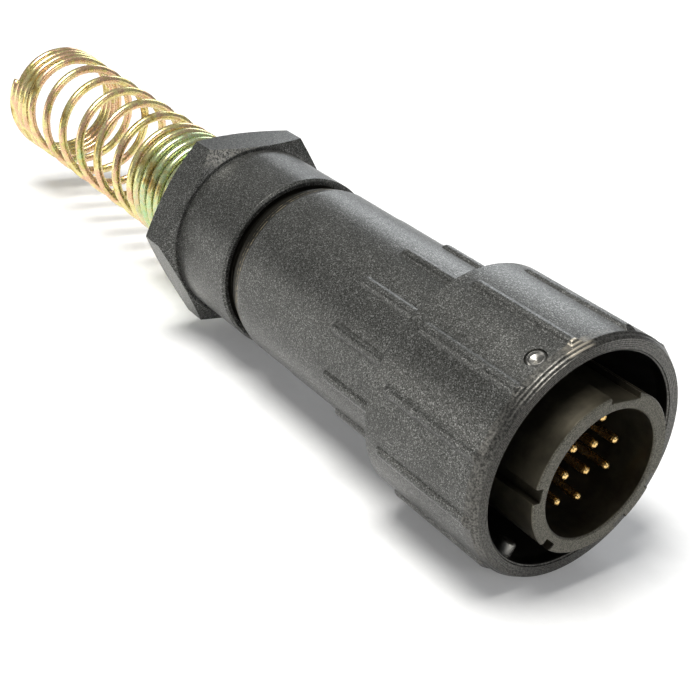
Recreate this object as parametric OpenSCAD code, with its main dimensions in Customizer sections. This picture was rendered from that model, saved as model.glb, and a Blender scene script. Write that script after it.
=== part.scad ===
// Circular plug connector with a sprung bayonet coupling ring, ribbed backshell,
// hexagonal gland nut and wire strain-relief spring. The axis runs along X, the mating end
// points to +X, and the origin is the centre of the coupling ring's open mouth.

/* [Mating barrel] */
// Outside diameter of the mating barrel
barrel_d = 18.4; // [17:0.1:21]
// Wall of the barrel in front of the insert
barrel_wall = 1.8; // [1.5:0.1:2.2]
// How far the barrel stands out of the coupling ring
barrel_proud = 2.7; // [1.5:0.1:5]
// Depth of the keyways in the barrel
key_depth = 0.9; // [0.5:0.1:1]
// Width of the main keyway
main_key_w = 4.3; // [3:0.1:5]
// Width of the four minor keyways
minor_key_w = 1.7; // [1.2:0.1:2]
// Direction of the main keyway, in degrees from +Y towards +Z
key_angle = 84; // [70:1:100]
// Height of the flange over the barrel
flange_h = 2; // [1.8:0.1:2.6]
// Thickness of that flange
flange_t = 2; // [1.5:0.1:3]
// Height over the barrel of the thread that carries the backshell
rear_thread_h = 0.4; // [0.2:0.1:0.6]
// Length of that thread
rear_thread_len = 9.5; // [8:0.1:12]

/* [Coupling ring] */
// Wall of the ring round the backshell, between its ribs
ring_wall = 1.8; // [1.4:0.1:3]
// Gap between the ring's bore and the backshell's ribs
ring_gap = 0.4; // [0.3:0.1:1]
// Wall of the ring's mouth
mouth_wall = 1.9; // [1.4:0.1:2]
// Depth of the mouth, down to the web
mouth_depth = 11.6; // [10.8:0.1:12.4]
// Thickness of the web that turns on the barrel
web_t = 1.5; // [1.2:0.1:2]
// How far the ring reaches back over the shell's flange
ring_skirt = 0.9; // [0.5:0.1:1.5]
// Number of grip ribs round the ring, and round the backshell
rib_count = 12; // [6:1:15]
// Width of a grip rib
rib_w = 1.5; // [1:0.1:2]
// Height of a grip rib
rib_h = 0.4; // [0.2:0.05:0.6]
// Plain length behind the ring's ribs
ring_rib_margin = 1.9; // [0.5:0.1:5]
// Length of the ring's front chamfer along the axis
ring_chamfer = 1.6; // [0.5:0.1:2]
// Depth of that chamfer
ring_chamfer_h = 0.45; // [0.2:0.05:0.8]

/* [Bayonet pins and coupling spring] */
// Diameter of a bayonet pin
pin_d = 2.2; // [1.6:0.1:2.6]
// Distance of the bayonet pins behind the ring's front face
pin_x = 2.7; // [2:0.1:5]
// How far a bayonet pin stands into the mouth
pin_proud = 1.3; // [0.8:0.1:2]
// Clockwise turn that locks the ring, seen from behind
lock_turn = 100; // [60:1:100]
// Turn left in the other direction
free_turn = 20; // [10:1:40]
// Travel of the coupling ring against its spring
ring_travel = 2; // [1:0.1:2.2]
// Number of waves in the spring
wave_count = 4; // [3:1:6]
// Thickness of the spring strip
wave_t = 0.3; // [0.2:0.05:0.4]
// Thickness of the thrust washer
thrust_t = 0.8; // [0.6:0.1:1.2]
// Diameter of the brass stop pin
stop_d = 1.4; // [1:0.1:1.5]
// Thickness of the snap ring on the barrel
snap_t = 0.8; // [0.6:0.1:1.2]
// Depth of the snap ring's groove
snap_groove = 0.45; // [0.3:0.05:0.6]

/* [Insert and contacts] */
// Distance of the insert's face behind the barrel's rim
insert_recess = 9.2; // [8:0.1:10]
// Distance of the contact tips behind the barrel's rim
tip_recess = 2.8; // [1.5:0.1:5]
// Distance between the rows of contacts
contact_pitch = 3.14; // [2.9:0.01:3.2]
// Diameter of a contact pin
contact_d = 1; // [0.8:0.05:1.2]
// Diameter of a contact's crimp barrel
crimp_d = 1.7; // [1.5:0.1:1.9]
// Length of the hard front insert
insert_len = 7; // [6:0.1:8]
// Length of the rubber grommet behind it
grommet_len = 5.4; // [4:0.1:6]
// Thickness of the follower that presses the grommet
follower_t = 1.5; // [1:0.1:2]
// Length of the crimp barrels behind the follower
crimp_out = 3.4; // [2.5:0.1:4.5]

/* [Backshell] */
// Height of the backshell over the shell's flange
backshell_h = 0.3; // [0.1:0.1:1]
// Length of the backshell's body
backshell_len = 29.5; // [26:0.1:45]
// Length of the ribs on the backshell
backshell_rib_len = 9.9; // [5:0.1:14]
// Height of the backshell's ribs
backshell_rib_h = 0.5; // [0.2:0.05:0.6]
// Turn of the backshell's ribs against the ring's, in degrees
backshell_rib_turn = -5; // [-15:1:15]
// Distance of the first turned ledge behind the backshell's front end
ledge_1 = 11.3; // [10.5:0.1:14]
// Distance of the second ledge
ledge_2 = 19.3; // [15:0.1:23]
// Height of the two ledges
ledge_h = 0.08; // [0.02:0.02:0.2]
// Wall of the wire chamber
chamber_wall = 2.6; // [2:0.1:3.2]
// Step down to the threaded neck
neck_step = 0.9; // [0.7:0.1:1.2]
// Wall of the neck
neck_wall = 2; // [1.6:0.1:2.4]

/* [Cable gland] */
// Cable hole through the seal
cable_d = 10.8; // [9:0.1:12]
// Length of the rubber seal
seal_len = 5; // [4:0.1:5.2]
// Thickness of the two washers beside the seal
washer_t = 0.8; // [0.5:0.1:1]
// Wall of the gland nut's collar, with its thread
collar_wall = 0.85; // [0.7:0.05:1.2]
// Height of the nut's flats over the collar
hex_h = 0.55; // [0.3:0.05:2]
// Length of the nut's hexagon
hex_len = 5.4; // [4.6:0.1:8]
// Axial distance that the nut can still be tightened
tighten = 0.9; // [0.4:0.1:1]
// Room between the cable and the nut's through hole
nut_hole_gap = 1; // [0.5:0.1:1.4]

/* [Strain-relief spring] */
// Wire diameter of the strain-relief spring
wire_d = 1.25; // [0.8:0.05:1.3]
// Outside diameter of the spring at the nut
spring_d = 16.4; // [15.4:0.1:17.4]
// How much wider the spring's rear end is, on each side
spring_flare = 0.5; // [0:0.1:1.5]
// Close turns at the nut
close_turns = 9.74; // [6:0.01:12]
// Pitch of the close turns at the nut
close_pitch = 1.93; // [1.5:0.01:2.4]
// Open turns in the middle
open_turns = 5.75; // [3:0.01:9]
// Pitch of the open turns
open_pitch = 5.75; // [3:0.01:7]
// Close turns at the rear end
end_turns = 4; // [1:0.01:6]
// Pitch of the turns at the rear end
end_pitch = 1.42; // [1.35:0.01:2.4]
// Direction in which the wire starts, in degrees from +Y towards +Z
wire_start = 330; // [0:1:360]

/* [Hidden] */
$fn = 64;
eps = 0.01;
// Clearances: a seat within one body, a running fit, and a loose gap
seat = 0.05;
running = 0.08;
gap = 0.1;
// Broken edges, fine and coarse
fine_edge = 0.2;
edge = 0.3;

contact_count = 12;
contact_names = [for (i = [1:contact_count]) str("contact_", i)];

// Radii and diameters, from the barrel outwards
barrel_r = barrel_d / 2;
socket_r = barrel_r - barrel_wall;
flange_r = barrel_r + flange_h;
thread_r = barrel_r + rear_thread_h;
backshell_r = flange_r + backshell_h;
ring_bore = backshell_r + backshell_rib_h + ring_gap;
ring_r = ring_bore + ring_wall;
mouth_r = ring_r - mouth_wall;
neck_r = backshell_r - neck_step;
gland_r = neck_r - neck_wall;
collar_r = neck_r + collar_wall;
hex_r = collar_r + hex_h;

// Coupling ring: its web turns on the barrel between the snap ring and the thrust washer
web_front = -mouth_depth;
web_rear = web_front - web_t;
web_bore = barrel_r + running;
web_land = 0.95;
slot_in = web_bore + web_land;
slot_out = slot_in + stop_d + 2 * gap;
stop_r = (slot_in + slot_out) / 2;
stop_lead = 7;
stop_angle = key_angle + stop_lead;
stop_clear = 2 * asin((stop_d / 2 + 1.5 * gap) / stop_r / 2);
rib_first = 180 / rib_count;
rib_top = ring_r + rib_h;
pin_angles = [0, 120, 240];

// Snap ring in front of the web, and the keyways, which run out into its groove
snap_rear = web_front + gap;
snap_front = snap_rear + snap_t;
snap_in = barrel_r - snap_groove + seat;
snap_out = slot_in - gap;
snap_gap = 40;
rim = barrel_proud;
key_rear = (snap_rear + snap_front) / 2;
minor_keys = [105, 140, 215, 265];

// Thrust washer, wave spring and flange behind the web
thrust_front = web_rear - gap;
thrust_rear = thrust_front - thrust_t;
thrust_in = barrel_r + running;
thrust_out = ring_bore - 0.4;
wave_h = ring_travel + 3 * wave_t;
wave_front = thrust_rear - seat;
wave_rear = wave_front - wave_h;
wave_in = thrust_in + 0.2;
wave_out = flange_r + 0.3;
wave_steps = 96;
flange_front = wave_rear - seat;
flange_rear = flange_front - flange_t;
ring_rear = flange_front - ring_skirt;
tab_w = 1.6;
tab_depth = 0.55;
tab_angle = key_angle + 180;

// Insert stack and contacts. The nose of the front insert is as deep as the snap ring's groove
insert_face = rim - insert_recess;
insert_step = snap_rear - seat;
insert_r = socket_r + 0.5;
insert_bore = insert_r + seat;
insert_rear = insert_face - insert_len;
grommet_front = insert_rear - seat;
grommet_rear = grommet_front - grommet_len;
follower_front = grommet_rear - seat;
follower_rear = follower_front - follower_t;
clip_t = 0.7;
clip_w = 0.75;
clip_groove = 0.4;
clip_gap = 20;
clip_front = follower_rear - seat;
clip_rear = clip_front - clip_t;
shell_rear = flange_rear - rear_thread_len;
contact_tip = rim - tip_recess;
contact_rear = follower_rear - crimp_out;
contact_root_d = contact_d + 0.12;
shoulder_d = crimp_d + 0.3;
shoulder_x = insert_face - 1.6;
shoulder_t = 1.4;
crimp_wall = 0.3;
crimp_depth = 4.5;
recess_d = 2.1;
recess_depth = 0.5;
notch_w = 1.2;
notch_depth = 0.8;
half = contact_pitch / 2;
rows = [[3 * half, [-1, 1]], [half, [-3, -1, 1, 3]], [-half, [-3, -1, 1, 3]], [-3 * half, [-1, 1]]];
contact_places = [for (row = rows) for (u = row[1]) [u * half, row[0]]];

// Backshell, from the flange to the end of its body
backshell_front = flange_rear - seat;
body_rear = backshell_front - backshell_len;
seal_section = 0.9;
thread_bore = thread_r + seat;
seal_r = thread_bore + seal_section / 2;
rib_front = backshell_front - 0.2;
chamber_r = backshell_r - chamber_wall;
chamber_front = shell_rear - 0.5;
chamber_cone = 1.2;
tail_chamfer = 1.5;
tail_drop = 0.5;
relief_len = 0.35;
relief_r = neck_r - 0.5;
crest_len = 0.75;
root_len = 1.2;

// Gland stack in the neck
gland_floor = body_rear - 3.4;
floor_t = 1.5;
floor_hole = cable_d / 2 + 1.2;
washer_hole = cable_d / 2 + 0.8;
seat_front = gland_floor - seat;
seat_rear = seat_front - washer_t;
seal_front = seat_rear - seat;
seal_rear = seal_front - seal_len;
seal_bevel = 0.8;
slip_front = seal_rear - seat;
slip_rear = slip_front - washer_t;
neck_rear = slip_rear - 1.35;

// Gland nut, not yet tightened
collar_front = body_rear - relief_len - crest_len - tighten - gap;
hex_front = neck_rear - tighten - 0.6;
hex_rear = hex_front - hex_len;
hex_corner = hex_r / cos(30);
hex_bevel = 1.15;
boss_front = slip_rear - gap;
boss_r = gland_r - 0.3;
nut_bore = neck_r + running;
nut_hole = cable_d / 2 + nut_hole_gap;
pocket_floor = hex_front - 1.5;
pocket_r = spring_d / 2 + gap;
pocket_bevel = 1.4;

// Strain-relief spring
wire_r = wire_d / 2;
coil_front = pocket_floor - wire_r - gap;
coil_turns = close_turns + open_turns + end_turns;
coil_steps = 20;
wire_sides = 6;

// Distance of the wire behind its start after t turns
function coil_x(t) = close_pitch * min(t, close_turns)
    + open_pitch * min(max(t - close_turns, 0), open_turns)
    + end_pitch * max(t - close_turns - open_turns, 0);
// Mean radius of the coil after t turns: it flares behind the close turns
function coil_r(t) = spring_d / 2 - wire_r
    + spring_flare * max(t - close_turns, 0) / (coil_turns - close_turns);
// Point on the wire's surface after t turns, at angle b round the wire
function wire_point(t, b) =
    let (a = wire_start - 360 * t, r = coil_r(t) + wire_r * cos(b))
    [coil_front - coil_x(t) + wire_r * sin(b), r * cos(a), r * sin(a)];

// Half height of the wave spring's strip at angle a
function wave_x(a) = (wave_front + wave_rear) / 2 + (wave_h - wave_t) / 2 * cos(wave_count * a);

// Turned solid from [radius, x] points
module turned(points) {
    rotate([0, 90, 0]) rotate_extrude() polygon(points);
}

// Tube from x0 forward to x1
module tube(r_in, r_out, x0, x1) {
    turned([[r_in, x0], [r_out, x0], [r_out, x1], [r_in, x1]]);
}

// Round bar from x0 forward to x1
module bar(r, x0, x1) {
    translate([x0, 0, 0]) rotate([0, 90, 0]) cylinder(r = r, h = x1 - x0);
}

// Places children at an angle from +Y towards +Z
module at(angle) {
    rotate([angle, 0, 0]) children();
}

// Places children at one contact, seen with the main keyway upwards
module at_contact(i) {
    rotate([key_angle - 90, 0, 0]) translate([0, contact_places[i][0], contact_places[i][1]]) children();
}

// Half-round grip rib on +Y, with a rounded rear end
module grip_rib(base_r, height, x0, x1) {
    bead_r = (rib_w * rib_w / 4 + height * height) / (2 * height);
    dome = [for (a = [0:22.5:90]) [bead_r * sin(a), bead_r * (1 - cos(a))]];
    translate([x0, base_r + height - bead_r, 0])
        rotate([0, 90, 0])
            rotate_extrude($fn = 32) polygon(concat(dome, [[bead_r, x1 - x0], [0, x1 - x0]]));
}

// Wedge of a ring between two angles, for arc slots and ring gaps
module sector(r, x0, x1, from, to) {
    n = ceil((to - from) / 30);
    step = (to - from) / n;
    translate([x0, 0, 0]) rotate([0, 90, 0]) rotate([0, 0, 90])
        linear_extrude(x1 - x0)
            polygon(concat([[0, 0]], [for (i = [0:n])
                [r / cos(step / 2) * cos(from + i * step), r / cos(step / 2) * sin(from + i * step)]]));
}

// Keyway cutter on +Y, open to the front
module keyway(width) {
    translate([key_rear, barrel_r - key_depth, -width / 2])
        cube([rim - key_rear + 1, key_depth + 1, width]);
}

module plug_shell() {
    color("#4b4a3c")
    difference() {
        // Barrel, flange and rear thread, with a broken rim edge
        turned([[insert_bore, shell_rear], [thread_r - edge, shell_rear],
            [thread_r, shell_rear + edge], [thread_r, flange_rear],
            [flange_r, flange_rear], [flange_r, flange_front],
            [barrel_r, flange_front], [barrel_r, rim - fine_edge],
            [barrel_r - fine_edge, rim], [socket_r + fine_edge, rim],
            [socket_r, rim - fine_edge], [socket_r, insert_step + seat],
            [insert_bore, insert_step + seat]]);
        // Snap ring groove
        tube(barrel_r - snap_groove, barrel_d, snap_rear - seat, snap_front + seat);
        // Groove inside for the insert's clip
        tube(insert_bore - eps, insert_bore + clip_groove, clip_rear - seat, clip_front + seat);
        // Main keyway and the minor ones
        at(key_angle) keyway(main_key_w);
        for (a = minor_keys) at(key_angle - a) keyway(minor_key_w);
        // Slot that keeps the thrust washer from turning
        at(tab_angle) translate([flange_front, barrel_r - tab_depth - gap, -tab_w / 2 - gap])
            cube([thrust_front - flange_front + 2 * gap, tab_depth + 1, tab_w + 2 * gap]);
    }
}

module snap_ring() {
    color("#b9b6ac")
    difference() {
        tube(snap_in, snap_out, snap_rear, snap_front);
        sector(barrel_d, snap_rear - 1, snap_front + 1,
            tab_angle - snap_gap / 2, tab_angle + snap_gap / 2);
    }
}

module insert_front() {
    color("#1d2740")
    difference() {
        turned([[0, insert_rear], [insert_r, insert_rear], [insert_r, insert_step],
            [socket_r - seat, insert_step], [socket_r - seat, insert_face - edge],
            [socket_r - seat - edge, insert_face], [0, insert_face]]);
        for (i = [0:contact_count - 1]) at_contact(i) {
            bar(contact_root_d / 2 + seat, insert_rear - 1, insert_face + 1);
            bar(recess_d / 2, insert_face - recess_depth, insert_face + 1);
            bar(shoulder_d / 2 + seat, insert_rear - 1, shoulder_x + seat);
        }
        // Polarising notch under the main keyway
        at(key_angle) translate([insert_face - notch_depth, socket_r - notch_w / 2, -notch_w / 2])
            cube([notch_depth + 1, notch_w, notch_w]);
    }
}

module insert_grommet() {
    color("#30404a")
    difference() {
        tube(0, insert_r, grommet_rear, grommet_front);
        for (i = [0:contact_count - 1])
            at_contact(i) bar(crimp_d / 2 + seat, grommet_rear - 1, grommet_front + 1);
    }
}

module grommet_follower() {
    color("#8d8a80")
    difference() {
        tube(0, insert_r, follower_rear, follower_front);
        for (i = [0:contact_count - 1])
            at_contact(i) bar(crimp_d / 2 + 1.5 * gap, follower_rear - 1, follower_front + 1);
    }
}

module insert_clip() {
    color("#b9b6ac")
    difference() {
        tube(insert_bore - clip_w, insert_bore + clip_groove - seat, clip_rear, clip_front);
        sector(barrel_d, clip_rear - 1, clip_front + 1,
            key_angle - clip_gap / 2, key_angle + clip_gap / 2);
    }
}

// Pin contact: crimp barrel, retaining shoulder, root that tapers in the insert, and a domed pin
module contact(i) {
    color("#d9b45a")
    at_contact(i) difference() {
        turned([[0, contact_rear], [crimp_d / 2, contact_rear], [crimp_d / 2, shoulder_x - shoulder_t],
            [shoulder_d / 2, shoulder_x - shoulder_t], [shoulder_d / 2, shoulder_x],
            [contact_root_d / 2, shoulder_x], [contact_d / 2, insert_face - seat],
            [contact_d / 2, contact_tip - contact_d * 0.45],
            [contact_d * 0.42, contact_tip - contact_d * 0.2],
            [contact_d * 0.25, contact_tip - contact_d * 0.04], [0, contact_tip]]);
        // Wire hole of the crimp barrel
        bar(crimp_d / 2 - crimp_wall, contact_rear - 1, contact_rear + crimp_depth);
    }
}

module shell_seal() {
    color("#2b2b2b")
    rotate([0, 90, 0]) translate([0, 0, backshell_front - seal_section / 2 - seat])
        rotate_extrude() translate([seal_r, 0]) circle(d = seal_section);
}

module backshell() {
    crest_front = body_rear - relief_len;
    crest_rear = crest_front - crest_len;
    root_rear = crest_rear - root_len;
    cone_front = gland_floor + floor_t + chamber_cone;
    color("#55564f")
    difference() {
        union() {
            // Body, thread relief, first thread crest, thread root and neck, then the bores
            turned([[thread_bore, backshell_front], [backshell_r - edge, backshell_front],
                [backshell_r, backshell_front - edge], [backshell_r, backshell_front - ledge_1],
                [backshell_r - ledge_h, backshell_front - ledge_1],
                [backshell_r - ledge_h, backshell_front - ledge_2],
                [backshell_r - 2 * ledge_h, backshell_front - ledge_2],
                [backshell_r - 2 * ledge_h, body_rear + tail_chamfer],
                [backshell_r - tail_drop, body_rear],
                [relief_r, body_rear], [relief_r, crest_front],
                [neck_r, crest_front], [neck_r, crest_rear],
                [relief_r, crest_rear], [relief_r, root_rear],
                [neck_r, root_rear], [neck_r, neck_rear + edge], [neck_r - edge, neck_rear],
                [gland_r, neck_rear], [gland_r, gland_floor],
                [floor_hole, gland_floor], [floor_hole, gland_floor + floor_t],
                [chamber_r, cone_front], [chamber_r, chamber_front],
                [thread_bore, chamber_front]]);
            for (k = [0:rib_count - 1])
                at(rib_first + backshell_rib_turn + 360 / rib_count * k)
                    grip_rib(backshell_r, backshell_rib_h, rib_front - backshell_rib_len, rib_front);
        }
        // Seat of the seal against the shell's flange
        tube(thread_bore - eps, thread_bore + seal_section + 2 * seat,
            backshell_front - seal_section - 2 * seat, backshell_front + 1);
    }
}

// Flat strip bent into waves round the barrel
module wave_spring() {
    color("#a9a7a0")
    polyhedron(
        points = [for (i = [0:wave_steps - 1]) let (a = 360 / wave_steps * i)
            for (c = [[wave_in, -1], [wave_out, -1], [wave_out, 1], [wave_in, 1]])
                [wave_x(a) + c[1] * wave_t / 2, c[0] * cos(a), c[0] * sin(a)]],
        faces = [for (i = [0:wave_steps - 1]) let (n = (i + 1) % wave_steps)
            for (c = [0:3]) let (d = (c + 1) % 4)
                for (f = [[4 * i + c, 4 * i + d, 4 * n + d], [4 * i + c, 4 * n + d, 4 * n + c]]) f]);
}

// Washer with a tab inwards, which slides in the barrel's slot and carries the stop pin
module thrust_washer() {
    tab_inset = gap;
    color("#a9a7a0")
    union() {
        difference() {
            tube(thrust_in, thrust_out, thrust_rear, thrust_front);
            at(stop_angle) translate([0, stop_r, 0]) bar(stop_d / 2, thrust_rear - 1, thrust_front + 1);
        }
        at(tab_angle) translate([thrust_rear + tab_inset, barrel_r - tab_depth, -tab_w / 2])
            cube([thrust_t - 2 * tab_inset, tab_depth + 1, tab_w]);
    }
}

module stop_pin() {
    pin_top = web_front + edge;
    color("#c9a24a")
    at(stop_angle) translate([0, stop_r, 0])
        turned([[0, thrust_rear], [stop_d / 2, thrust_rear], [stop_d / 2, pin_top - fine_edge],
            [stop_d / 2 - fine_edge, pin_top], [0, pin_top]]);
}

module coupling_ring() {
    color("#55564f")
    difference() {
        union() {
            turned([[ring_bore + edge, ring_rear], [ring_r - edge, ring_rear],
                [ring_r, ring_rear + edge], [ring_r, 0], [mouth_r + edge, 0],
                [mouth_r, -edge], [mouth_r, web_front], [web_bore, web_front],
                [web_bore, web_rear], [ring_bore, web_rear], [ring_bore, ring_rear + edge]]);
            for (k = [0:rib_count - 1])
                at(rib_first + 360 / rib_count * k)
                    grip_rib(ring_r, rib_h, ring_rear + ring_rib_margin, 0);
        }
        // Front chamfer, cut across the body and the ribs
        turned([[ring_r - ring_chamfer_h, 1], [ring_r - ring_chamfer_h, 0],
            [rib_top + gap, -ring_chamfer], [rib_top + 2, -ring_chamfer], [rib_top + 2, 1]]);
        // Holes of the bayonet pins
        for (a = pin_angles) at(a) translate([-pin_x, mouth_r - 1, 0])
            rotate([-90, 0, 0]) cylinder(r = pin_d / 2 + seat, h = mouth_wall + 2);
        // Arc slot in which the stop pin limits the turn
        difference() {
            tube(slot_in, slot_out, web_rear - 1, web_front + 1);
            sector(2 * ring_r, web_rear - 2, web_front + 2,
                stop_angle + free_turn + stop_clear, stop_angle - lock_turn - stop_clear + 360);
        }
    }
}

// Radial pins with a bevelled rim and a dish in their outer end
module bayonet_pins() {
    pin_in = mouth_r - pin_proud;
    pin_out = ring_r - seat;
    color("#b4b3ae")
    for (a = pin_angles) at(a) translate([-pin_x, 0, 0]) rotate([-90, 0, 0])
        rotate_extrude() polygon([[0, pin_in],
            [pin_d / 2 - fine_edge, pin_in], [pin_d / 2, pin_in + fine_edge],
            [pin_d / 2, pin_out - 0.2], [pin_d / 2 - 0.25, pin_out],
            [pin_d / 2 - 0.45, pin_out - 0.2], [0, pin_out - 0.45]]);
}

module seat_washer() {
    color("#b08d4a")
    tube(washer_hole, gland_r - seat, seat_rear, seat_front);
}

// Rubber sleeve with bevelled ends
module gland_seal() {
    seal_r_out = gland_r - gap;
    color("#2b2b2b")
    turned([[cable_d / 2, seal_rear + seal_bevel], [cable_d / 2 + seal_bevel, seal_rear],
        [seal_r_out - fine_edge, seal_rear], [seal_r_out, seal_rear + edge],
        [seal_r_out, seal_front - edge], [seal_r_out - fine_edge, seal_front],
        [cable_d / 2 + seal_bevel, seal_front], [cable_d / 2, seal_front - seal_bevel]]);
}

module slip_washer() {
    color("#b08d4a")
    tube(washer_hole, gland_r - 2 * gap, slip_rear, slip_front);
}

module gland_nut() {
    color("#55564f")
    difference() {
        union() {
            // Hexagon with both ends chamfered
            intersection() {
                translate([hex_rear, 0, 0]) rotate([0, 90, 0]) rotate([0, 0, 90])
                    cylinder(r = hex_corner, h = hex_len, $fn = 6);
                turned([[0, hex_rear], [hex_r - gap, hex_rear],
                    [hex_corner + 0.2, hex_rear + hex_bevel], [hex_corner + 0.2, hex_front - hex_bevel],
                    [hex_r - gap, hex_front], [0, hex_front]]);
            }
            turned([[0, hex_rear + 1], [collar_r, hex_rear + 1], [collar_r, collar_front - edge],
                [collar_r - edge, collar_front], [0, collar_front]]);
        }
        // Thread bore, with a boss left round the cable hole to press on the slip washer
        difference() {
            bar(nut_bore, hex_front, collar_front + 1);
            tube(nut_hole, boss_r, hex_front - 1, boss_front);
        }
        bar(nut_hole, hex_rear - 1, collar_front + 1);
        // Pocket that holds the spring's first turns
        bar(pocket_r, hex_rear - 1, pocket_floor);
        turned([[0, hex_rear - 1], [pocket_r + pocket_bevel, hex_rear - 1],
            [pocket_r, hex_rear + pocket_bevel - 1], [0, hex_rear + pocket_bevel - 1]]);
    }
}

// Round wire wound into close, open and close turns
module strain_spring() {
    steps = ceil(coil_steps * coil_turns);
    last = wire_sides * steps;
    color("#b7a55c")
    polyhedron(
        points = [for (i = [0:steps]) for (j = [0:wire_sides - 1])
            wire_point(coil_turns * i / steps, 360 / wire_sides * j)],
        faces = concat(
            [[for (j = [0:wire_sides - 1]) j]],
            [for (i = [0:steps - 1]) for (j = [0:wire_sides - 1])
                let (k = (j + 1) % wire_sides, p = wire_sides * i, q = p + wire_sides)
                    for (f = [[p + j, q + j, q + k], [p + j, q + k, p + k]]) f],
            [[for (j = [wire_sides - 1:-1:0]) last + j]]));
}

plug_shell();
snap_ring();
insert_front();
insert_grommet();
grommet_follower();
insert_clip();
shell_seal();
backshell();
wave_spring();
thrust_washer();
stop_pin();
coupling_ring();
bayonet_pins();
seat_washer();
gland_seal();
slip_washer();
gland_nut();
strain_spring();
for (i = [0:contact_count - 1]) contact(i);
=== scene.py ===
"""Looks of the circular plug connector: finishes, the strain-relief spring's wire, soft springs and seals,
the studio and the camera. Metres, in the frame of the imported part: the axis is X and +X is the mating end."""

from math import cos, pi, radians, sin

import bpy
import numpy as np
from mathutils import Matrix, Vector


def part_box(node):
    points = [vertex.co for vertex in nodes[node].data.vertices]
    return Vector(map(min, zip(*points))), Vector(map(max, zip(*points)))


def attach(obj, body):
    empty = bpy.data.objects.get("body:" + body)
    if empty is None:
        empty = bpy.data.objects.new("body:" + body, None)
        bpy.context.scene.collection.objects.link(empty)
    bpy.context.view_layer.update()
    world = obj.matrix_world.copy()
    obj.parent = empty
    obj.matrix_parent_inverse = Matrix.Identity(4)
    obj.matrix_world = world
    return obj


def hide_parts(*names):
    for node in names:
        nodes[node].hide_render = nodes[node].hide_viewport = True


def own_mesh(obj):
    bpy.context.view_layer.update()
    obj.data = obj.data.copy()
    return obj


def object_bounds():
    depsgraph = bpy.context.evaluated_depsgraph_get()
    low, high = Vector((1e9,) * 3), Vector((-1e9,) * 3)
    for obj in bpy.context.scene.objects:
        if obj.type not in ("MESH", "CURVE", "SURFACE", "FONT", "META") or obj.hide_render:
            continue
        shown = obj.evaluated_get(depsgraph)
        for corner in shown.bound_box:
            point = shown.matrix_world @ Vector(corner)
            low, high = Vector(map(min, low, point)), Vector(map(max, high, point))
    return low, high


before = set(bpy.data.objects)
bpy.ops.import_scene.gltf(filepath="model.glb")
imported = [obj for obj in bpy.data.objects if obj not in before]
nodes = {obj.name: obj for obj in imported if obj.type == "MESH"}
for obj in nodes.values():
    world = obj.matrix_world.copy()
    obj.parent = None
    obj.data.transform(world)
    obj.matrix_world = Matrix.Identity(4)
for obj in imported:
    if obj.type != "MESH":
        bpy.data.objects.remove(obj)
cad_box = [list(corner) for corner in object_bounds()]
MM = 0.001


# ---------------------------------------------------------------- places taken from the frame

ring_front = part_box("coupling_ring")[1].x
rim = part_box("plug_shell")[1].x
backshell_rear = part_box("backshell")[0].x
nut_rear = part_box("gland_nut")[0].x
spring_low, spring_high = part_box("strain_spring")
floor_z = cad_box[0][2]

# Sizes of the solids that the finishes and the new pieces follow
mouth_r = 12.3 * MM
ring_chamfer = 1.6 * MM
neck_len = 11.5 * MM
crest_r = 10.6 * MM
hex_len = 5.4 * MM
spring_r = 8.2 * MM


# ---------------------------------------------------------------- shader building

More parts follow.
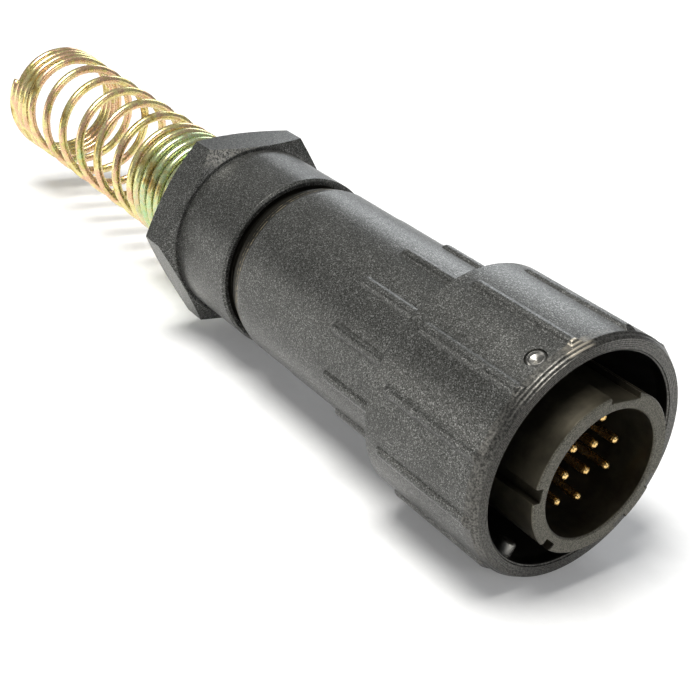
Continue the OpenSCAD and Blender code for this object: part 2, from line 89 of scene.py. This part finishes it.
class Shader:
    """A material with a Principled surface, and short calls for the nodes that feed it."""

    def __init__(self, name, **sockets):
        self.material = bpy.data.materials.new(name)
        self.material.use_nodes = True
        self.tree = self.material.node_tree
        self.surface = self.tree.nodes["Principled BSDF"]
        self.place = self.add("TexCoord").outputs["Object"]
        for socket, value in sockets.items():
            self.set(socket.replace("_", " "), value)

    def add(self, kind, **settings):
        node = self.tree.nodes.new("ShaderNode" + kind)
        for name, value in settings.items():
            setattr(node, name, value)
        return node

    def put(self, socket, value):
        """Links value to a socket, or sets it if it is a number or colour."""
        if isinstance(value, bpy.types.NodeSocket):
            self.tree.links.new(value, socket)
        elif hasattr(value, "__len__") and len(value) == 3 and socket.type == "RGBA":
            socket.default_value = (*value, 1)
        else:
            socket.default_value = value

    def set(self, name, value):
        self.put(self.surface.inputs[name], value)

    def math(self, operation, a, b=0.0):
        node = self.add("Math", operation=operation)
        self.put(node.inputs[0], a)
        self.put(node.inputs[1], b)
        return node.outputs[0]

    def product(self, first, *others):
        for other in others:
            first = self.math("MULTIPLY", first, other)
        return first

    def mix(self, share, a, b):
        """Colour a where share is 0, b where it is 1."""
        node = self.add("Mix", data_type="RGBA")
        self.put(node.inputs["Factor"], share)
        self.put(node.inputs[6], a)
        self.put(node.inputs[7], b)
        return node.outputs[2]

    def step(self, value, low, high, to_low=0.0, to_high=1.0):
        """The value mapped smoothly from low..high to to_low..to_high."""
        node = self.add("MapRange", interpolation_type="SMOOTHSTEP")
        for socket, number in zip(node.inputs, (value, low, high, to_low, to_high)):
            self.put(socket, number)
        return node.outputs[0]

    def noise(self, size, detail=3.0, roughness=0.55, stretch=(1, 1, 1)):
        """Noise with features of about that size in metres."""
        scaled = self.add("VectorMath", operation="MULTIPLY")
        self.put(scaled.inputs[0], self.place)
        scaled.inputs[1].default_value = stretch
        node = self.add("TexNoise")
        self.put(node.inputs["Vector"], scaled.outputs[0])
        node.inputs["Scale"].default_value = 1 / size
        node.inputs["Detail"].default_value = detail
        node.inputs["Roughness"].default_value = roughness
        return node.outputs["Fac"]

    def cells(self, size):
        """A random value for each cell of about that size in metres."""
        node = self.add("TexVoronoi")
        self.put(node.inputs["Vector"], self.place)
        node.inputs["Scale"].default_value = 1 / size
        split = self.add("SeparateColor")
        self.put(split.inputs[0], node.outputs["Color"])
        return split.outputs[0]

    def axis(self):
        """(x along the axis, radius, y, z) of the shaded point, in the part's frame."""
        split = self.add("SeparateXYZ")
        self.put(split.inputs[0], self.place)
        x, y, z = split.outputs
        radius = self.math("SQRT", self.math("ADD", self.product(y, y), self.product(z, z)))
        return x, radius, y, z

    def near(self, value, place, half):
        """1 where value is within half of half of the place, 0 beyond half."""
        return self.step(self.math("ABSOLUTE", self.math("SUBTRACT", value, place)), half, half * 0.5)

    def bump(self, height, depth, strength=1.0, normal=None):
        node = self.add("Bump")
        node.inputs["Strength"].default_value = strength
        node.inputs["Distance"].default_value = depth
        self.put(node.inputs["Height"], height)
        if normal is not None:
            self.put(node.inputs["Normal"], normal)
        return node.outputs[0]

    def soft_edges(self, radius):
        """A normal that rounds sharp edges."""
        node = self.add("Bevel", samples=4)
        node.inputs["Radius"].default_value = radius
        return node.outputs[0]


# ---------------------------------------------------------------- finishes

COAT_DARK = (0.016, 0.016, 0.014)
COAT_MID = (0.108, 0.108, 0.100)
COAT_FLAKE = (0.50, 0.50, 0.48)
COAT_METALLIC = 0.55
BARE = (0.26, 0.25, 0.22)
# painted glint colour for one rib's cut end, where light catches it
PAINTED_GLINT_CUT = (0.52, 0.47, 0.38)
WORN_CREST = (0.42, 0.35, 0.21)


def coat(name):
    """Anthracite coat with metallic flakes. Returns the shader, its colour and its normal."""
    s = Shader(name, Metallic=COAT_METALLIC)
    grain = s.noise(0.13 * MM, 2.0, 0.6)
    flakes = s.step(s.cells(0.11 * MM), 0.72, 1.0)
    tone = s.mix(s.step(grain, 0.34, 0.66), COAT_DARK, COAT_MID)
    tone = s.mix(s.product(flakes, 0.4), tone, COAT_FLAKE)
    broad = s.step(s.noise(6 * MM, 2.0), 0.3, 0.7, 0.0, 0.22)
    tone = s.mix(broad, tone, COAT_DARK)
    normal = s.bump(grain, 0.02 * MM, 0.5, s.soft_edges(0.12 * MM))
    s.set("Roughness", s.step(grain, 0.3, 0.7, 0.42, 0.31))
    return s, tone, normal


def coupling_ring_finish():
    """The coat, with a turned front face and chamfer, a painted glint on one rib's cut end and a dark bore."""
    s, tone, normal = coat("anthracite_ring")
    x, radius, y, z = s.axis()
    groove_pitch = 0.22 * MM
    chamfer_rear = ring_front - ring_chamfer
    front = s.step(x, chamfer_rear - 0.04 * MM, chamfer_rear + 0.04 * MM)
    bore = s.step(radius, mouth_r + 0.12 * MM, mouth_r + 0.06 * MM)
    groove = s.math("SINE", s.product(radius, 2 * pi / groove_pitch))

    scratch = s.step(s.noise(0.25 * MM, 3.0, 0.7), 0.35, 0.7)
    turned = s.mix(scratch, (0.040, 0.039, 0.036), (0.16, 0.155, 0.14))
    # Painted highlight: only the rib cut near 105 degrees on the chamfer is made bright where the light catches
    # it; the other rib cuts keep the dark turned colour.
    turn = s.math("ARCTAN2", z, y)
    rib_left = s.step(turn, radians(97), radians(101))
    rib_right = s.step(turn, radians(113), radians(109))
    slope = s.step(x, ring_front - 0.1 * MM, ring_front - 0.2 * MM)
    ridges = s.step(groove, -0.4, 0.6, 0.15, 1.0)
    painted_glint_rib = s.product(slope, s.product(rib_left, rib_right), ridges)
    turned = s.mix(painted_glint_rib, turned, PAINTED_GLINT_CUT)

    tone = s.mix(front, tone, turned)
    s.set("Base Color", s.mix(bore, tone, (0.022, 0.021, 0.018)))
    s.set("Normal", s.bump(s.product(front, groove), 0.02 * MM, 0.9, normal))
    s.set("Metallic", s.math("MAXIMUM", s.product(front, 0.85), COAT_METALLIC))
    return s.material


def backshell_finish():
    """The coat, with a worn thread crest and a fine line of painted shade, for an unmodelled groove, that runs
    out in front of it.
    """
    s, tone, normal = coat("anthracite_backshell")
    x, radius, y, z = s.axis()
    body_rear = backshell_rear + neck_len
    band_front = body_rear + 0.75 * MM
    band = s.step(x, band_front + 0.03 * MM, band_front - 0.03 * MM)

    front_edge = s.near(x, band_front - 0.08 * MM, 0.14 * MM)
    rear_edge = s.near(x, body_rear + 0.03 * MM, 0.12 * MM)
    edges = s.math("MINIMUM", s.math("ADD", front_edge, rear_edge), 1.0)
    crest = s.step(radius, crest_r - 0.1 * MM, crest_r - 0.02 * MM)
    wear = s.step(s.noise(0.5 * MM, 4.0, 0.7), 0.42, 0.62)
    metal = s.mix(s.product(crest, wear, edges), (0.030, 0.028, 0.022), WORN_CREST)

    # Painted shade: a near-black thin line in front of the crest band stands for the shadowed groove of a
    # relief that the solid does not show; it fades out at both ends like a thread's run-out.
    turn = s.math("ARCTAN2", z, y)
    run_out = s.product(s.step(turn, 1.15, 1.7), s.step(turn, 3.1, 2.9))
    line = s.product(s.near(x, band_front + 0.16 * MM, 0.13 * MM), run_out)
    tone = s.mix(band, tone, metal)
    s.set("Base Color", s.mix(line, tone, (0.006, 0.006, 0.005)))
    s.set("Metallic", s.math("MAXIMUM", s.product(band, 0.9), COAT_METALLIC))
    s.set("Normal", normal)
    return s.material


def nut_finish():
    """The coat, rubbed through to metal at one corner of the hexagon's front chamfer."""
    s, tone, normal = coat("anthracite_nut")
    x, radius, y, z = s.axis()
    hex_front = nut_rear + hex_len
    chamfer_slope = 1.15 / 1.96
    fallen = s.product(s.math("SUBTRACT", radius, 11.9 * MM), chamfer_slope)
    chamfer = s.step(s.math("ADD", x, fallen), hex_front - 0.12 * MM, hex_front - 0.02 * MM)
    behind = s.step(x, hex_front + 0.02 * MM, hex_front - 0.02 * MM)
    high = s.step(radius, 11.7 * MM, 12.0 * MM)
    rub = s.step(s.noise(0.35 * MM, 4.0, 0.7), 0.42, 0.6, 0.0, 0.8)
    corner = s.product(s.step(z, 9.5 * MM, 10.8 * MM), s.step(y, 1.0 * MM, -1.5 * MM))
    worn = s.product(s.product(chamfer, behind), s.product(high, rub), corner)
    s.set("Base Color", s.mix(worn, tone, BARE))
    s.set("Normal", normal)
    return s.material


def shell_finish():
    """Dark olive conversion coat on the barrel, with a bead-blasted rim."""
    s = Shader("olive_shell")
    x, _, _, _ = s.axis()
    blotch = s.step(s.noise(2.5 * MM, 4.0, 0.6), 0.3, 0.7)
    side = s.mix(blotch, (0.040, 0.035, 0.024), (0.075, 0.066, 0.046))
    grit = s.noise(0.12 * MM, 2.0, 0.6)
    blasted = s.mix(s.step(grit, 0.35, 0.68), (0.05, 0.048, 0.038), (0.17, 0.16, 0.13))
    face = s.step(x, rim - 0.2 * MM, rim - 0.12 * MM)
    s.set("Base Color", s.mix(face, side, blasted))
    s.set("Metallic", 0.75)
    s.set("Roughness", s.step(face, 0.0, 1.0, 0.34, 0.58))
    turning = s.noise(0.3 * MM, 2.0, 0.5, (1.0, 0.02, 0.02))
    height = s.math("ADD", s.product(turning, 0.5), s.product(grit, face))
    s.set("Normal", s.bump(height, 0.02 * MM, 0.7, s.soft_edges(0.1 * MM)))
    return s.material


def plastic_finish(name, dark, light, rough):
    """Moulded plastic or rubber, with a faint mottle."""
    s = Shader(name)
    mottle = s.noise(0.8 * MM, 4.0, 0.6)
    s.set("Base Color", s.mix(s.step(mottle, 0.3, 0.7), dark, light))
    s.set("Roughness", s.step(mottle, 0.3, 0.7, rough + 0.06, rough - 0.06))
    s.set("Normal", s.bump(s.noise(0.15 * MM, 3.0), 0.01 * MM, 0.5, s.soft_edges(0.08 * MM)))
    return s.material


def metal_finish(name, dark, light, rough, size=0.6 * MM):
    """Bare or plated metal with fine handling marks."""
    s = Shader(name, Metallic=1.0)
    marks = s.noise(size, 5.0, 0.65)
    s.set("Base Color", s.mix(s.step(marks, 0.3, 0.7), dark, light))
    s.set("Roughness", s.step(marks, 0.3, 0.7, rough + 0.07, rough - 0.05))
    s.set("Normal", s.bump(s.noise(0.12 * MM, 2.0), 0.008 * MM, 0.4, s.soft_edges(0.06 * MM)))
    return s.material


def chromate_and_sheen_finish():
    """Yellow chromate on zinc: gold, olive and pink bands along the wire, with mint near the nut, mixed with
    painted reflections, painted highlights and a painted sheen that follows the side of the wire's section.
    """
    s = Shader("yellow_chromate", Metallic=0.85)
    around = s.add("Attribute", attribute_name="around").outputs["Fac"]
    along = s.add("Attribute", attribute_name="along").outputs["Fac"]
    drift = s.noise(4.5 * MM, 3.0, 0.6)
    fine = s.noise(0.5 * MM, 3.0, 0.6)
    # The 'around' term shifts the colour with the side of the wire's section, which is painted sheen; the drift
    # and fine noise are the chromate's own patchy tint.
    band = s.math("ADD", s.product(around, 0.16), s.product(drift, 0.75))
    band = s.math("SUBTRACT", s.math("ADD", band, s.product(fine, 0.1)), 0.05)
    ramp = s.add("ValToRGB")
    s.put(ramp.inputs[0], band)
    # The darkest brown stop stands for dark surroundings seen in the wire, a painted reflection, and the palest
    # yellow stop is a painted highlight; the olive, gold and pink stops are the chromate's own tints.
    stops = (
        (0.30, (0.13, 0.07, 0.02)),
        (0.38, (0.58, 0.41, 0.12)),
        (0.46, (0.82, 0.74, 0.34)),
        (0.55, (0.78, 0.48, 0.32)),
        (0.63, (0.62, 0.56, 0.20)),
        (0.74, (0.42, 0.64, 0.36)),
    )
    elements = ramp.color_ramp.elements
    while len(elements) < len(stops):
        elements.new(0.5)
    for element, (place, colour) in zip(elements, stops):
        element.position = place
        element.color = (*colour, 1)
    mint = s.mix(s.step(fine, 0.3, 0.7), (0.34, 0.66, 0.42), (0.62, 0.64, 0.30))
    near_nut = s.product(s.step(along, 0.50, 0.38), s.step(drift, 0.30, 0.44), 0.65)
    s.set("Base Color", s.mix(near_nut, ramp.outputs[0], mint))
    s.set("Roughness", s.step(fine, 0.3, 0.7, 0.30, 0.20))
    s.set("Normal", s.bump(s.noise(0.5 * MM, 2.0, 0.5), 0.004 * MM, 0.4))
    return s.material


# ---------------------------------------------------------------- new pieces

def piece(name, vertices, faces, smooth=True):
    """A new mesh object in the scene."""
    mesh = bpy.data.meshes.new(name)
    mesh.from_pydata([tuple(v) for v in vertices], [], faces)
    mesh.validate()
    mesh.update()
    if smooth:
        mesh.polygons.foreach_set("use_smooth", [True] * len(mesh.polygons))
    thing = bpy.data.objects.new(name, mesh)
    bpy.context.scene.collection.objects.link(thing)
    return thing


def grid_faces(rows, columns, closed=True):
    """Quads over rows of points. Each row is a closed loop; the last row joins the first if closed."""
    faces = []
    for i in range(rows if closed else rows - 1):
        j = (i + 1) % rows
        for k in range(columns):
            n = (k + 1) % columns
            faces.append((i * columns + k, j * columns + k, j * columns + n, i * columns + n))
    return faces


def round_wire(name, centres, radius, sides):
    """A round wire along centres, with float attributes around its section and along its length."""
    tangents = np.gradient(centres, axis=0)
    tangents /= np.linalg.norm(tangents, axis=1)[:, None]
    outward = centres * (0, 1, 1)
    outward /= np.linalg.norm(outward, axis=1)[:, None]
    outward -= (outward * tangents).sum(1)[:, None] * tangents
    outward /= np.linalg.norm(outward, axis=1)[:, None]
    side = np.cross(tangents, outward)
    rings, around = [], []
    for k in range(sides):
        a = 2 * pi * k / sides
        rings.append(centres + radius * (cos(a) * outward + sin(a) * side))
        around.append(0.5 + 0.5 * sin(a))
    count = len(centres)
    points = np.stack(rings, 1).reshape(-1, 3)
    faces = [face[::-1] for face in grid_faces(count, sides, closed=False)]
    faces.append(tuple(range(sides - 1, -1, -1)))
    faces.append(tuple((count - 1) * sides + k for k in range(sides)))
    thing = piece(name, points, faces)
    for label, values in (
        ("around", np.tile(around, count)),
        ("along", np.repeat(np.linspace(0, 1, count), sides)),
    ):
        attribute = thing.data.attributes.new(label, "FLOAT", "POINT")
        attribute.data.foreach_set("value", values.astype(np.float32))
    return thing


def strain_spring():
    """The spring's wire as one smooth helix: close turns at the nut, open turns, close turns behind."""
    wire = 0.625 * MM
    close_turns, open_turns, end_turns = 9.74, 5.75, 4.0
    close_pitch, open_pitch, end_pitch = 1.93, 5.75, 1.42
    turns = close_turns + open_turns + end_turns
    flare = 0.5 * MM
    ease = 0.35  # turns over which one pitch changes to the next
    steps, sides = 56, 18
    start_angle = radians(330)

    t = np.linspace(0, turns, int(turns * steps) + 1)
    opens = 0.5 + 0.5 * np.tanh((t - close_turns) / ease)
    closes = 0.5 + 0.5 * np.tanh((t - close_turns - open_turns) / ease)
    pitch = close_pitch + (open_pitch - close_pitch) * opens - (open_pitch - end_pitch) * closes
    fed = np.concatenate([[0], np.cumsum((pitch[1:] + pitch[:-1]) / 2 * np.diff(t))])

    front = spring_high.x - wire
    rear = spring_low.x + wire
    x = front + (rear - front) * fed / fed[-1]
    r = spring_r - wire + flare * np.clip(t - close_turns, 0, None) / (turns - close_turns)
    a = start_angle - 2 * pi * t
    centres = np.stack([x, r * np.cos(a), r * np.sin(a)], 1)
    wire_piece = round_wire("strain_spring_wire", centres, wire, sides)
    wire_piece.data.materials.append(chromate_and_sheen_finish())
    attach(wire_piece, "nut")
    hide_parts("strain_spring")


def swept_ring(name, section, steps):
    """Flat-shaded ring about the X axis. section(a) gives its closed outline of (x, radius) at angle a."""
    points = []
    for k in range(steps):
        a = 2 * pi * k / steps
        points += [(x, r * cos(a), r * sin(a)) for x, r in section(a)]
    return piece(name, points, grid_faces(steps, len(section(0))), smooth=False)


def wave_spring(finish):
    """Flat strip bent into four waves. The real spring flattens as the ring is pulled back; this mesh keeps its
    shape.
    """
    low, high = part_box("wave_spring")
    strip, waves = 0.3 * MM, 4
    inner, outer = 9.48 * MM, 11.5 * MM
    middle = (low.x + high.x) / 2
    swing = (high.x - low.x - strip) / 2

    def section(a):
        x = middle + swing * cos(waves * a)
        rear, front = x - strip / 2, x + strip / 2
        return [(rear, inner), (rear, outer), (front, outer), (front, inner)]

    spring = swept_ring("wave_spring_strip", section, 192)
    spring.data.materials.append(finish)
    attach(spring, "plug_body")
    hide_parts("wave_spring")
    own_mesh(spring)


def gland_seal(finish):
    """Rubber sleeve round the cable hole, which the nut presses through the slip washer."""
    low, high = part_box("gland_seal")
    hole, outer, bevel, edge = 5.4 * MM, 8.5 * MM, 0.8 * MM, 0.25 * MM
    outline = [
        (low.x + bevel, hole), (low.x, hole + bevel), (low.x, outer - edge), (low.x + edge, outer),
        (high.x - edge, outer), (high.x, outer - edge), (high.x, hole + bevel), (high.x - bevel, hole),
    ]
    seal = swept_ring("gland_seal_rubber", lambda a: outline, 96)
    seal.data.materials.append(finish)
    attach(seal, "plug_body")
    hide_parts("gland_seal")
    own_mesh(seal)


# ---------------------------------------------------------------- dressing the CAD nodes

def dress(finish, *names):
    for name in names:
        mesh = nodes[name].data
        mesh.materials.clear()
        mesh.materials.append(finish)


navy = plastic_finish("navy_insert", (0.008, 0.010, 0.018), (0.016, 0.020, 0.034), 0.42)
grommet = plastic_finish("grommet_rubber", (0.025, 0.035, 0.045), (0.04, 0.055, 0.065), 0.6)
seal_rubber = plastic_finish("seal_rubber", (0.012, 0.012, 0.012), (0.025, 0.025, 0.024), 0.55)
follower = plastic_finish("follower_plastic", (0.20, 0.19, 0.17), (0.30, 0.29, 0.26), 0.5)
gold = metal_finish("contact_gold", (0.72, 0.46, 0.16), (0.95, 0.68, 0.30), 0.24)
brass = metal_finish("brass", (0.50, 0.36, 0.14), (0.72, 0.54, 0.24), 0.3)
stainless = metal_finish("stainless", (0.20, 0.195, 0.18), (0.42, 0.41, 0.38), 0.34, 1.5 * MM)
spring_steel = metal_finish("spring_steel", (0.30, 0.29, 0.27), (0.46, 0.45, 0.42), 0.32)
bare_metal = metal_finish("bare_metal", (0.26, 0.25, 0.22), (0.42, 0.40, 0.36), 0.38)

dress(coupling_ring_finish(), "coupling_ring")
dress(backshell_finish(), "backshell")
dress(nut_finish(), "gland_nut")
dress(shell_finish(), "plug_shell")
dress(navy, "insert_front")
dress(grommet, "insert_grommet")
dress(seal_rubber, "shell_seal")
dress(follower, "grommet_follower")
dress(gold, *[name for name in nodes if name.startswith("contact_")])
dress(brass, "stop_pin", "seat_washer", "slip_washer")
dress(stainless, "bayonet_pins")
dress(spring_steel, "snap_ring", "insert_clip")
dress(bare_metal, "thrust_washer")

strain_spring()
wave_spring(spring_steel)
gland_seal(seal_rubber)


# ---------------------------------------------------------------- studio and camera

def studio():
    """Pale floor that meets a white world, with a painted glow that is dim grey near the part and white far
    away, and soft lamps.
    """
    half = 3
    corners = [(-half, -half, floor_z), (half, -half, floor_z), (half, half, floor_z), (-half, half, floor_z)]
    floor = piece("floor", corners, [(0, 1, 2, 3)], smooth=False)
    # Painted light: the floor's emission is grey near the part, which lightens its shadow, and rises to white
    # far away where the lamps fall off.
    s = Shader("floor_paper_painted_glow", Roughness=0.9, Emission_Strength=1.0)
    x, _, y, _ = s.axis()
    away = s.math("SQRT", s.math("ADD", s.product(x, x), s.product(y, y)))
    far = s.step(away, 0.16, 0.7)
    s.set("Emission Color", s.mix(far, (0.13, 0.13, 0.13), (1.0, 1.0, 1.0)))
    paper = s.noise(3 * MM, 3.0)
    s.set("Base Color", s.mix(s.step(paper, 0.3, 0.7), (0.80, 0.80, 0.80), (0.84, 0.84, 0.84)))
    floor.data.materials.append(s.material)

    world = bpy.data.worlds.new("studio")
    bpy.context.scene.world = world
    world.use_nodes = True
    tree = world.node_tree
    soft = tree.nodes["Background"]
    soft.inputs["Color"].default_value = (0.93, 0.96, 1.0, 1)
    soft.inputs["Strength"].default_value = 0.22
    white = tree.nodes.new("ShaderNodeBackground")
    white.inputs["Color"].default_value = (1, 1, 1, 1)
    white.inputs["Strength"].default_value = 1.0
    rays = tree.nodes.new("ShaderNodeLightPath")
    pick = tree.nodes.new("ShaderNodeMixShader")
    tree.links.new(rays.outputs["Is Camera Ray"], pick.inputs[0])
    tree.links.new(soft.outputs[0], pick.inputs[1])
    tree.links.new(white.outputs[0], pick.inputs[2])
    tree.links.new(pick.outputs[0], tree.nodes["World Output"].inputs[0])

    middle = Vector((-0.03, 0, 0))
    for name, place, size, power, colour in (
        ("key", (-0.06, -0.12, 0.46), 0.26, 3.0, (1.0, 0.99, 0.96)),
        ("back", (-0.42, 0.42, 0.28), 0.30, 0.85, (0.92, 0.96, 1.0)),
        ("left", (-0.28, -0.42, 0.04), 0.22, 0.3, (1.0, 0.98, 0.95)),
        ("front", (0.50, 0.10, 0.20), 0.20, 0.5, (0.98, 0.98, 1.0)),
    ):
        lamp = bpy.data.lights.new(name, "AREA")
        lamp.shape = "DISK"
        lamp.size = size
        lamp.energy = power
        lamp.color = colour
        thing = bpy.data.objects.new(name, lamp)
        thing.location = place
        thing.rotation_euler = (middle - Vector(place)).to_track_quat("-Z", "Y").to_euler()
        bpy.context.scene.collection.objects.link(thing)


def camera():
    """The photograph's viewing angle: from the mating end, above and beside the axis."""
    back = Vector((0.6646, -0.5541, 0.5014)).normalized()
    up = Vector((-0.4623, 0.2222, 0.8585))
    right = up.cross(back).normalized()
    up = back.cross(right)
    lens = bpy.data.cameras.new("camera")
    lens.sensor_width = 36
    lens.lens = 64.35
    lens.shift_y = 0.0714
    lens.clip_start = 0.01
    lens.clip_end = 20
    thing = bpy.data.objects.new("camera", lens)
    turn = Matrix((right, up, back)).transposed().to_4x4()
    thing.matrix_world = Matrix.Translation((0.06703, -0.08709, 0.06589)) @ turn
    bpy.context.scene.collection.objects.link(thing)
    bpy.context.scene.camera = thing


studio()
camera()
bpy.context.scene.view_settings.view_transform = "Standard"
